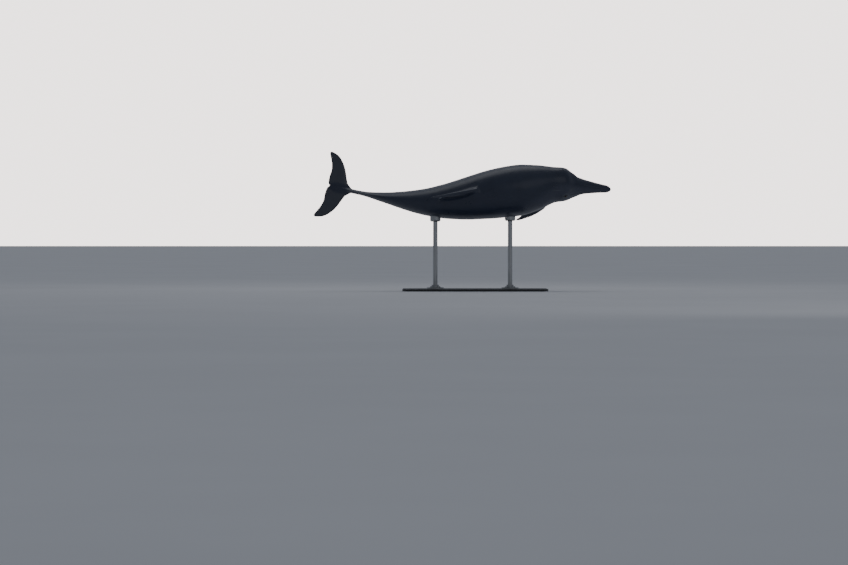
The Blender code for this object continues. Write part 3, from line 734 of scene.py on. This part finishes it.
class nodeBench:
    # short calls for wiring one node tree
    def __init__(self, nodeTree):
        self.nodes, self.links = nodeTree.nodes, nodeTree.links

    def put(self, kind, settings=None, **inputs):
        made = self.nodes.new(kind)
        for key, value in (settings or {}).items():
            setattr(made, key, value)
        for key, value in inputs.items():
            socket = made.inputs[int(key[1:])] if key[0] == "i" and key[1:].isdigit() else made.inputs[key]
            self.feed(value, socket)
        return made

    def feed(self, value, socket):
        if isinstance(value, bpy.types.NodeSocket):
            self.links.new(value, socket)
        else:
            socket.default_value = value

    def sum(self, operation, a, b=0.0, c=0.0):
        return self.put("ShaderNodeMath", {"operation": operation}, i0=a, i1=b, i2=c).outputs[0]

    def times(self, a, b):
        return self.sum("MULTIPLY", a, b)

    def minus(self, a, b):
        return self.sum("SUBTRACT", a, b)

    def most(self, a, b):
        return self.sum("MAXIMUM", a, b)

    def squares(self, a, b):
        return self.sum("ADD", self.times(a, a), self.times(b, b))

    def distance(self, a, b):
        return self.sum("SQRT", self.squares(a, b))

    def vectorSum(self, operation, a, b):
        return self.put("ShaderNodeVectorMath", {"operation": operation}, i0=a, i1=b).outputs[0]

    def split(self, vector):
        return self.put("ShaderNodeSeparateXYZ", i0=vector).outputs

    def read(self, name):
        # the three numbers that the mesh keeps under this name
        return self.split(self.put("ShaderNodeAttribute", {"attribute_name": name}).outputs["Vector"])

    def noise(self, vector, scale, detail=3.0, roughness=0.5):
        made = self.put("ShaderNodeTexNoise", Vector=vector, Scale=scale, Detail=detail, Roughness=roughness)
        return made.outputs["Fac"]

    def between(self, value, low, high, toLow=0.0, toHigh=1.0):
        # soft step from toLow to toHigh as the value goes from low to high
        made = self.put("ShaderNodeMapRange", {"interpolation_type": "SMOOTHSTEP"})
        for socket, given in zip(made.inputs[:5], (value, low, high, toLow, toHigh)):
            self.feed(given, socket)
        return made.outputs[0]

    def hump(self, value, centre, width):
        # 1 at the centre, 0 a width away on both sides
        away = self.sum("ABSOLUTE", self.minus(value, centre))
        return self.between(away, 0.0, width, 1.0, 0.0)

    def curve(self, value, stops):
        # straight lines through (place, height) pairs
        made = self.put("ShaderNodeValToRGB", i0=value)
        ramp = made.color_ramp
        while len(ramp.elements) < len(stops):
            ramp.elements.new(0.5)
        for element, (place, height) in zip(ramp.elements, stops):
            element.position = place
            element.color = (height, height, height, 1)
        return made.outputs[0]

    def blend(self, share, first, second, kind="MIX"):
        made = self.put("ShaderNodeMix", {"data_type": "RGBA", "blend_type": kind})
        for socket, given in zip((made.inputs[0], made.inputs[6], made.inputs[7]), (share, first, second)):
            self.feed((*given, 1) if isinstance(given, tuple) and len(given) == 3 else given, socket)
        return made.outputs[2]


def shaderGroup(name, inputs, outputs):
    # a given number makes a number socket, anything else a vector socket
    group = bpy.data.node_groups.new(name, "ShaderNodeTree")
    for label, value in inputs.items():
        kind = "NodeSocketFloat" if isinstance(value, float) else "NodeSocketVector"
        socket = group.interface.new_socket(name=label, in_out="INPUT", socket_type=kind)
        if value is not None:
            socket.default_value = value
    for label in outputs:
        group.interface.new_socket(name=label, in_out="OUTPUT", socket_type="NodeSocketFloat")
    bench = nodeBench(group)
    return group, bench, bench.put("NodeGroupInput").outputs, bench.put("NodeGroupOutput").inputs


def shallowGrain():
    # Tone = coarse noise, Height = fine noise + a third of a finer one; all on the given coordinates
    sockets = {"Vector": None, "Coarse": 6.0, "Fine": 300.0}
    group, bench, given, out = shaderGroup("shallow grain", sockets, ("Tone", "Height"))
    bench.feed(bench.noise(given["Vector"], given["Coarse"], 5.0, 0.55), out["Tone"])
    finer = bench.noise(given["Vector"], bench.times(given["Fine"], 3.1), 1.0)
    fine = bench.noise(given["Vector"], given["Fine"], 2.0)
    bench.feed(bench.sum("MULTIPLY_ADD", finer, 0.33, fine), out["Height"])
    return group


def hairlines():
    # Lines = where a stretched noise passes its middle value, kept only where a slower noise is high
    sockets = {"Vector": None, "Stretch": (1.0, 1.0, 1.0), "Width": 0.01, "Cover": 0.5}
    group, bench, given, out = shaderGroup("hairlines", sockets, ("Lines",))
    stretched = bench.vectorSum("MULTIPLY", given["Vector"], given["Stretch"])
    wave = bench.noise(stretched, 1.0, 1.0)
    away = bench.sum("ABSOLUTE", bench.minus(wave, 0.5))
    line = bench.between(away, 0.0, given["Width"], 1.0, 0.0)
    patch = bench.noise(given["Vector"], 5.0, 2.0)
    low, high = (bench.minus(level, given["Cover"]) for level in (1.02, 1.12))
    kept = bench.between(patch, low, high)
    bench.feed(bench.times(line, kept), out["Lines"])
    return group


grainGroup = shallowGrain()
lineGroup = hairlines()


def newMaterial(name, roughness, metallic=0.0, **more):
    material = bpy.data.materials.new(name)
    material.use_nodes = True
    bench = nodeBench(material.node_tree)
    shader = bench.nodes["Principled BSDF"]
    shader.inputs["Roughness"].default_value = roughness
    shader.inputs["Metallic"].default_value = metallic
    for key, value in more.items():
        shader.inputs[key.replace("_", " ")].default_value = value
    here = bench.put("ShaderNodeTexCoord").outputs["Object"]
    return material, bench, shader, here


def addGrain(bench, here, coarse, fine):
    made = bench.put("ShaderNodeGroup", {"node_tree": grainGroup}, Vector=here, Coarse=coarse, Fine=fine)
    return made.outputs["Tone"], made.outputs["Height"]


def addHairlines(bench, here, stretch, width, cover):
    given = {"Vector": here, "Stretch": stretch, "Width": width, "Cover": cover}
    return bench.put("ShaderNodeGroup", {"node_tree": lineGroup}, **given).outputs["Lines"]


def wireSurface(bench, shader, colour, roughness, height, distance):
    bump = bench.put("ShaderNodeBump", Height=height, Distance=distance, Strength=1.0)
    wires = {"Base Color": colour, "Roughness": roughness, "Normal": bump.outputs["Normal"]}
    for label, value in wires.items():
        bench.feed(value, shader.inputs[label])


skinLook = {
    "cape": (0.025, 0.034, 0.061), "flank": (0.046, 0.055, 0.086), "belly": (0.240, 0.238, 0.245),
    # fin and fluke are painted light: the fins' own dark tone is lifted over the cape against the shade on
    # them, and the flukes are lighter still as a painted sheen
    "fin": (0.038, 0.047, 0.074), "fluke": (0.062, 0.068, 0.086), "stripe": (0.020, 0.027, 0.044),
    "ring": (0.105, 0.115, 0.132), "eyeShare": 0.524, "mmPerShare": 430.0,
    # lip is the dark of the painted shade in the mouth slit, the lid opening and crease, the blowhole, the
    # ear and the belly's slits
    "scar": (0.190, 0.195, 0.200), "lip": (0.012, 0.013, 0.016), "bridle": (0.060, 0.069, 0.084),
    "roughness": (0.26, 0.42), "coat": {"Coat_Weight": 0.30, "Coat_Roughness": 0.22}, "mottle": 0.28,
    # station and the share of the half ring at which the cape ends and the belly begins
    "capeEdge": (
        (0.0, 0.40), (0.13, 0.36), (0.17, 0.30), (0.26, 0.40),
        (0.42, 0.46), (0.60, 0.40), (0.80, 0.52), (0.92, 0.80),
    ),
    "bellyEdge": (
        (0.0, 0.72), (0.13, 0.76), (0.18, 0.84), (0.26, 0.90),
        (0.42, 0.88), (0.60, 0.86), (0.80, 0.90), (0.90, 1.0),
    ),
}


def skinMaterial():
    # station and turn decide cape, flank and belly; fins, and the painted shade in lips, lids and blowhole,
    # come from the marks
    material, bench, shader, here = newMaterial("wet dolphin skin", 0.3, IOR=1.42, **skinLook["coat"])
    station, share, fin = bench.read("bodyPlace")
    lips, lidShade, holeAndSlitShade = bench.read("marks")
    tone, grain = addGrain(bench, here, 3.2, 210.0)
    cloud = bench.noise(here, 9.0, 6.0, 0.62)
    wander = bench.times(bench.minus(tone, 0.5), 0.16)
    level = bench.sum("ADD", share, wander)
    capeEdge = bench.curve(station, skinLook["capeEdge"])
    bellyEdge = bench.curve(station, skinLook["bellyEdge"])
    pastCape = bench.between(bench.minus(level, capeEdge), -0.09, 0.08)
    pastFlank = bench.between(bench.minus(level, bellyEdge), -0.06, 0.07)
    colour = bench.blend(pastCape, skinLook["cape"], skinLook["flank"])
    colour = bench.blend(pastFlank, colour, skinLook["belly"])
    # stripe from the eye down to the flipper
    stripeMiddle = bench.sum("MULTIPLY_ADD", station, 3.4, skinLook["eyeShare"] - eye["station"] * 3.4)
    stripe = bench.hump(bench.minus(level, stripeMiddle), 0.0, 0.055)
    stripe = bench.times(stripe, bench.hump(station, 0.203, 0.050))
    colour = bench.blend(bench.times(stripe, 0.75), colour, skinLook["stripe"])
    # pale bridle from the brow to the eye, and the pale ring round the eye
    bridleMiddle = bench.sum("MULTIPLY_ADD", station, 3.6, 0.40 - 0.140 * 3.6)
    bridle = bench.times(bench.hump(level, bridleMiddle, 0.05), bench.hump(station, 0.146, 0.030))
    colour = bench.blend(bench.times(bridle, 0.55), colour, skinLook["bridle"])
    eyeX = bench.times(bench.minus(station, eye["station"]), mmPerStation)
    eyeY = bench.times(bench.minus(share, skinLook["eyeShare"]), skinLook["mmPerShare"])
    eyeAway = bench.distance(eyeX, eyeY)
    ring = bench.hump(bench.sum("ADD", eyeAway, bench.times(cloud, 8.0)), 28.0, 13.0)
    colour = bench.blend(bench.times(ring, 0.42), colour, skinLook["ring"])
    # painted light: the fins a little lighter than the cape against the shade on them, the flukes lighter
    # still as a painted sheen
    finToneWithPaintedLight = bench.blend(bench.between(station, 0.84, 0.95), skinLook["fin"], skinLook["fluke"])
    colour = bench.blend(bench.between(fin, 0.02, 0.22), colour, finToneWithPaintedLight)
    # clouding, rake scars, and the painted shade in the recesses
    tint = bench.sum("MULTIPLY_ADD", bench.minus(cloud, 0.5), skinLook["mottle"] * 2, 1.0)
    grey = bench.put("ShaderNodeCombineColor", i0=tint, i1=tint, i2=tint).outputs[0]
    colour = bench.blend(1.0, colour, grey, "MULTIPLY")
    lengthwise, girthwise = bench.times(station, bodyLength), bench.times(share, 0.5)
    unrolled = bench.put("ShaderNodeCombineXYZ", X=lengthwise, Y=girthwise, Z=fin).outputs[0]
    slanted = bench.put("ShaderNodeMapping", Vector=unrolled, Rotation=(0.0, 0.0, 0.22)).outputs[0]
    rakes = addHairlines(bench, slanted, (2.2, 75.0, 9.0), 0.012, 0.50)
    crossed = bench.put(
        "ShaderNodeMapping", Vector=unrolled, Location=(3.1, 1.7, 0.4), Rotation=(0.0, 0.0, -0.75)
    ).outputs[0]
    nicks = addHairlines(bench, crossed, (4.0, 60.0, 9.0), 0.007, 0.44)
    scars = bench.most(rakes, bench.times(nicks, 0.7))
    colour = bench.blend(bench.times(scars, 0.22), colour, skinLook["scar"])
    # navel and slit on the midline of the belly, pressed in by the bump and darkened as painted shade
    midline = bench.hump(share, 1.0, 0.0055)
    slit = bench.times(midline, bench.hump(station, 0.640, 0.024))
    navel = bench.times(bench.hump(share, 1.0, 0.011), bench.hump(station, 0.505, 0.0045))
    slit = bench.most(slit, navel)
    holeAndSlitShade = bench.most(holeAndSlitShade, bench.times(slit, 0.8))
    # painted shade: the mouth slit, the lid opening and crease, the blowhole, the ear and the belly's slits
    # go dark
    dark = bench.most(lips, bench.most(lidShade, holeAndSlitShade))
    colour = bench.blend(dark, colour, skinLook["lip"])
    wetness = bench.between(cloud, 0.30, 0.70, *skinLook["roughness"])
    rough = bench.sum("MULTIPLY_ADD", scars, 0.12, wetness)
    height = bench.minus(bench.times(grain, 0.30), bench.times(scars, 0.35))
    height = bench.sum("MULTIPLY_ADD", cloud, 1.6, height)
    height = bench.sum("MULTIPLY_ADD", slit, -4.0, height)
    wireSurface(bench, shader, colour, rough, height, 0.0006)
    return material


eyeLook = {
    "iris": (0.085, 0.037, 0.016), "irisEdge": (0.019, 0.009, 0.005), "pupil": (0.0015, 0.0015, 0.002),
    "white": (0.060, 0.045, 0.042), "irisSize": 0.66, "pupilSize": (0.42, 0.20),
}


def eyeMaterial():
    # x forward and y upward over the front of the ball; the pupil is a flat smile, the iris darkens outwards
    material, bench, shader, here = newMaterial(
        "wet brown eye", 0.06, IOR=1.34, Coat_Weight=0.35, Coat_Roughness=0.02
    )
    x, y, front = bench.read("gaze")
    away = bench.distance(x, y)
    turn = bench.sum("ARCTAN2", y, x)
    rays = bench.put("ShaderNodeCombineXYZ", X=bench.times(turn, 9.0), Y=bench.times(away, 2.5))
    fibre = bench.noise(rays.outputs[0], 2.2, 4.0, 0.6)
    tone, grain = addGrain(bench, here, 220.0, 900.0)
    iris = bench.blend(bench.between(fibre, 0.35, 0.70), eyeLook["irisEdge"], eyeLook["iris"])
    iris = bench.blend(bench.between(away, 0.30, eyeLook["irisSize"]), iris, eyeLook["irisEdge"])
    white = bench.blend(bench.between(tone, 0.40, 0.75), eyeLook["white"], (0.035, 0.014, 0.012))
    edge = eyeLook["irisSize"]
    beyond = bench.between(away, edge - 0.03, edge + 0.05)
    beyond = bench.times(beyond, bench.between(front, -0.2, 0.2))
    colour = bench.blend(beyond, iris, white)
    wide, tall = eyeLook["pupilSize"]
    px = bench.sum("DIVIDE", x, wide)
    sag = bench.sum("MULTIPLY_ADD", bench.times(px, px), -0.10, y)
    py = bench.sum("DIVIDE", sag, tall)
    inPupil = bench.between(bench.squares(px, py), 0.80, 1.05, 1.0, 0.0)
    inPupil = bench.times(inPupil, bench.between(front, 0.0, 0.2))
    colour = bench.blend(inPupil, colour, eyeLook["pupil"])
    wireSurface(bench, shader, colour, bench.between(tone, 0.3, 0.7, 0.04, 0.09), grain, 0.00002)
    return material


def steelMaterial(name, stretch, tint):
    # brushed steel: noise drawn out along the brushing, handling marks in the roughness
    material, bench, shader, here = newMaterial(name, 0.3, 1.0)
    tone, _ = addGrain(bench, here, 7.0, 260.0)
    drawn = bench.noise(bench.vectorSum("MULTIPLY", here, stretch), 1.0, 3.0, 0.6)
    dull = tuple(0.62 * value for value in tint)
    colour = bench.blend(bench.between(drawn, 0.25, 0.75), dull, tint)
    lines = addHairlines(bench, here, (60.0, 60.0, 18.0), 0.006, 0.48)
    colour = bench.blend(bench.times(lines, 0.4), colour, (0.20, 0.20, 0.21))
    rough = bench.sum("MULTIPLY_ADD", drawn, 0.10, bench.between(tone, 0.30, 0.75, 0.22, 0.40))
    wireSurface(bench, shader, colour, rough, drawn, 0.00006)
    return material


coatLook = {
    "dark": (0.022, 0.023, 0.025), "pale": (0.034, 0.035, 0.037), "speck": (0.11, 0.11, 0.115),
    "scratch": (0.10, 0.10, 0.105),
}


def powderCoatMaterial():
    # orange peel: rounded fine noise in the bump, a faint clouding, and specks of dust all over
    material, bench, shader, here = newMaterial("charcoal powder coat", 0.5, Coat_Weight=0.05)
    tone, grain = addGrain(bench, here, 5.0, 420.0)
    colour = bench.blend(bench.between(tone, 0.30, 0.72), coatLook["dark"], coatLook["pale"])
    speck = bench.between(bench.noise(here, 900.0, 1.0), 0.66, 0.74)
    colour = bench.blend(bench.times(speck, 0.35), colour, coatLook["speck"])
    lines = addHairlines(bench, here, (14.0, 22.0, 5.0), 0.004, 0.47)
    colour = bench.blend(bench.times(lines, 0.3), colour, coatLook["scratch"])
    wireSurface(bench, shader, colour, bench.between(tone, 0.30, 0.75, 0.46, 0.60), grain, 0.00018)
    return material


def skinMarks(spots, bodyPlace):
    # how close each point is to the mouth's slit, the rim of the lids, and the blowhole or the ear: the masks
    # of the painted shade in these recesses
    station, left, up = spots[..., 0], spots[..., 1] * mmPerStation, spots[..., 2] * mmPerStation
    share = bodyPlace[..., 1]
    fromLine, mouthOn = mouthAt(station, up)
    lips = bell(fromLine, 0, 2.0) * mouthOn
    _, _, r = eyeRing(station, share)
    lidShade = (1 - smoothStep(1.0, 1.35, r)) + 0.5 * bell(r, 1.72, 0.15)
    bow, side, _ = blowholeAt(station, left)
    hole = bell(bow, 0, 1.9) * (up > 0) * (1 - smoothStep(11, 14.5, np.abs(side)))
    ear = 0.8 * bell(fromEar(station, share), 0, 2.0)
    return np.stack([lips, np.clip(lidShade, 0, 1), np.maximum(hole, ear)], axis=-1)


ring, bodyPlace = straightSkin()
marks = skinMarks(ring, bodyPlace)
relief = skinRelief(ring, bodyPlace)
ring = ring + ringNormals(ring) * (relief / mmPerStation)[..., None]
skinMesh = gridMesh("skin", place(ring))
for label, values in (("bodyPlace", bodyPlace), ("marks", marks)):
    attribute(skinMesh, label, withPoles(values))
fleshNodes = [
    "upper_beak", "lower_jaw", "head", "chest", "trunk", "tail_stock",
    "dorsal_fin", "flipper_left", "flipper_right", "fluke_left", "fluke_right",
]
addPiece("skin", skinMesh, skinMaterial(), fleshNodes)
print("skin:", len(skinMesh.polygons), "faces")
eyeFinish = eyeMaterial()
for side, name in ((1, "left"), (-1, "right")):
    addPiece("eye_ball_" + name, eyeBall(side), eyeFinish, ["eye_" + name])
print("eyes: both balls in their sockets")

# the stand keeps its CAD nodes
rodSteel = steelMaterial("brushed steel rod", (700.0, 700.0, 5.0), (0.56, 0.57, 0.58))
turnedSteel = steelMaterial("turned steel", (90.0, 90.0, 900.0), (0.50, 0.51, 0.52))
coat = powderCoatMaterial()
standFinishes = {"stand_base": coat}
for end in ("front", "rear"):
    standFinishes["stand_rod_" + end] = rodSteel
    standFinishes["stand_flange_" + end] = turnedSteel
    standFinishes["stand_collar_" + end] = turnedSteel
for name, finish in standFinishes.items():
    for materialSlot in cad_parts[name].material_slots:
        materialSlot.material = finish
print("stand: finishes on", len(standFinishes), "nodes")

# socket cap screws that hold the flanges down, in millimetres
screw = {
    "headRadius": 6.5, "headHeight": 8.0, "edge": 0.6, "socketHalf": 3.0, "socketDepth": 4.0,
    "circle": 53.5, "count": 4, "flangeHeight": 12.0, "columns": 48,
}


def screwHead(centre, turnedBy):
    # a profile turned round the axis; the socket's rings are hexagons of radius half / cos(turn from the
    # middle of the flat)
    turn = np.linspace(0, 2 * math.pi, screw["columns"] + 1)[None, :-1]
    hexagon = screw["socketHalf"] / np.cos((turn + math.pi / 6) % (math.pi / 3) - math.pi / 6)
    edge, outer, deep = screw["edge"], screw["headRadius"], screw["socketDepth"]
    rim = screw["socketHalf"] * 1.28
    profile = np.array((  # height, share of the hexagon, round radius
        (-deep, 0.96, 0), (0.12 - deep, 1, 0), (-0.40, 1, 0), (-0.25, 1, 0.05),
        (0, 0, rim), (0, 0, rim + 0.1), (0, 0, outer - edge - 0.1), (-0.02, 0, outer - edge),
        (-edge, 0, outer - 0.02), (-edge - 0.1, 0, outer), (-screw["headHeight"], 0, outer),
    ))
    height, share, plain = (profile[:, column, None] for column in range(3))
    radius = (share * hexagon + plain) / 1000
    height = (height + screw["headHeight"]) / 1000 + 0 * turn
    spun = turn + turnedBy
    points = centre + np.stack([radius * np.cos(spun), radius * np.sin(spun), height], axis=-1)
    return gridMesh("screw", points[::-1])


for end in ("front", "rear"):
    low, high = (np.array(corner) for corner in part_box("stand_flange_" + end))
    middle = (low + high) / 2
    for number in range(screw["count"]):
        swing = math.pi / 4 + 2 * math.pi * number / screw["count"]
        away = np.array([math.cos(swing), math.sin(swing), 0.0]) * screw["circle"] / 1000
        seat = np.array([middle[0], middle[1], low[2] + screw["flangeHeight"] / 1000 - 0.0002]) + away
        name = "flange_screw_" + end + "_" + str(number + 1)
        addPiece(name, screwHead(seat, 0.5 * number), turnedSteel, ())
print("screws:", 2 * screw["count"], "in the flanges")


# the sky, the floor, the lights and the camera round the model
studio = {
    "skyAhead": 0.34, "skyBehind": 0.22, "skySeen": (3.0, 2.78, 2.70), "floorTone": (0.78, 0.785, 0.80),
    # name, watts, width and height, place
    "softBoxes": (
        ("overhead", 18.0, (5.0, 2.4), (-0.2, 1.2, 4.6)),
        ("fill", 16.0, (5.0, 5.0), (3.5, -7.0, 3.0)),
    ),
    "lookAt": (-0.1, 0.0, 0.9),
    "cameraAt": (-0.4435, -24.6, 0.4513), "cameraDip": 0.88, "lens": 120.1,
}


def floorMaterial():
    # pale matt plaster: a slow clouding and a fine tooth
    material, bench, shader, here = newMaterial("pale studio floor", 0.85)
    tone, grain = addGrain(bench, here, 0.6, 60.0)
    paler = tuple(min(1.0, value * 1.05) for value in studio["floorTone"])
    colour = bench.blend(bench.between(tone, 0.3, 0.7), studio["floorTone"], paler)
    wireSurface(bench, shader, colour, bench.between(tone, 0.3, 0.7, 0.80, 0.92), grain, 0.0002)
    return material


def studioWorld():
    # lights the model from the far side more than from the near side; seen directly it is one pale tone
    world = bpy.data.worlds.new("studio")
    world.use_nodes = True
    bench = nodeBench(world.node_tree)
    towards = bench.split(bench.put("ShaderNodeTexCoord").outputs["Generated"])
    strength = bench.between(towards[1], -0.35, 0.75, studio["skyBehind"], studio["skyAhead"])
    lit = bench.put("ShaderNodeBackground", Color=(0.88, 0.94, 1.06, 1.0), Strength=strength)
    seen = bench.put("ShaderNodeBackground", Color=(*studio["skySeen"], 1.0), Strength=1.0)
    direct = bench.put("ShaderNodeLightPath").outputs["Is Camera Ray"]
    both = bench.put("ShaderNodeMixShader", i0=direct, i1=lit.outputs[0], i2=seen.outputs[0])
    bench.feed(both.outputs[0], bench.nodes["World Output"].inputs["Surface"])
    return world


def softBox(name, watts, size, at):
    light = bpy.data.lights.new(name, "AREA")
    light.energy = watts
    light.shape = "ELLIPSE"
    light.size, light.size_y = size
    lamp = bpy.data.objects.new(name, light)
    scene.collection.objects.link(lamp)
    lamp.location = at
    lamp.rotation_euler = (Vector(studio["lookAt"]) - Vector(at)).to_track_quat("-Z", "Y").to_euler()


floorMesh = bpy.data.meshes.new("floor")
floorMesh.from_pydata([(-60, -40, 0), (60, -40, 0), (60, 160, 0), (-60, 160, 0)], [], [(0, 1, 2, 3)])
floorPiece = bpy.data.objects.new("floor", floorMesh)
floorMesh.materials.append(floorMaterial())
scene.collection.objects.link(floorPiece)
scene.world = studioWorld()
for softBoxRow in studio["softBoxes"]:
    softBox(*softBoxRow)

cameraData = bpy.data.cameras.new("camera")
cameraData.sensor_width = 36.0
cameraData.lens = studio["lens"]
cameraData.clip_end = 400.0
camera = bpy.data.objects.new("camera", cameraData)
scene.collection.objects.link(camera)
camera.location = studio["cameraAt"]
camera.rotation_euler = (math.radians(90 - studio["cameraDip"]), 0, 0)
scene.camera = camera
print("studio: floor, two soft boxes, camera")

bpy.context.view_layer.update()
